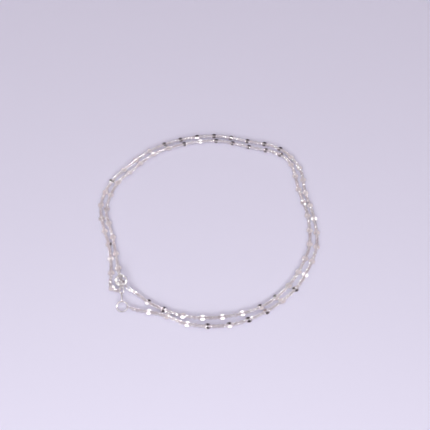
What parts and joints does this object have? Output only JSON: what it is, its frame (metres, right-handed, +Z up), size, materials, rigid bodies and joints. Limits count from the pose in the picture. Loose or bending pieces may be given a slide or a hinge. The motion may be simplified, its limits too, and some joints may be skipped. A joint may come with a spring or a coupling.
{
  "type": "link chain necklace",
  "caption": "Fine silver chain with wide pressed oval stations and a spring ring clasp, fastened and laid down folded into a double ring.",
  "frame": {"origin": "on the surface that the necklace lies on, under the middle of its outline", "axes": "+Z up, -Y the near side of the loop, with the clasp at the near left"},
  "size_m": [0.0882, 0.0964, 0.0036],
  "materials": {
    "chain": "bright silver links with mirror polished stations",
    "clasp": "polished silver",
    "rings": "polished silver wire"
  },
  "bodies": {
    "necklace": {"chain_outer_run": "chain", "chain_inner_run": "chain", "spring_ring": "clasp", "connector_link": "rings", "end_ring": "rings", "hook_ring": "rings"},
    "latch": {"latch_bolt": "clasp"}
  },
  "joints": [
    {"name": "latch_open", "type": "hinge", "parent": "necklace", "child": "latch", "pos_m": [-0.03174, -0.0285, 0.00224], "axis": [0.0151, -0.173, 0.9848], "range_deg": [0, 60], "stiffness_Nm_per_rad": 0.0004, "springref_deg": -34.38}
  ]
}
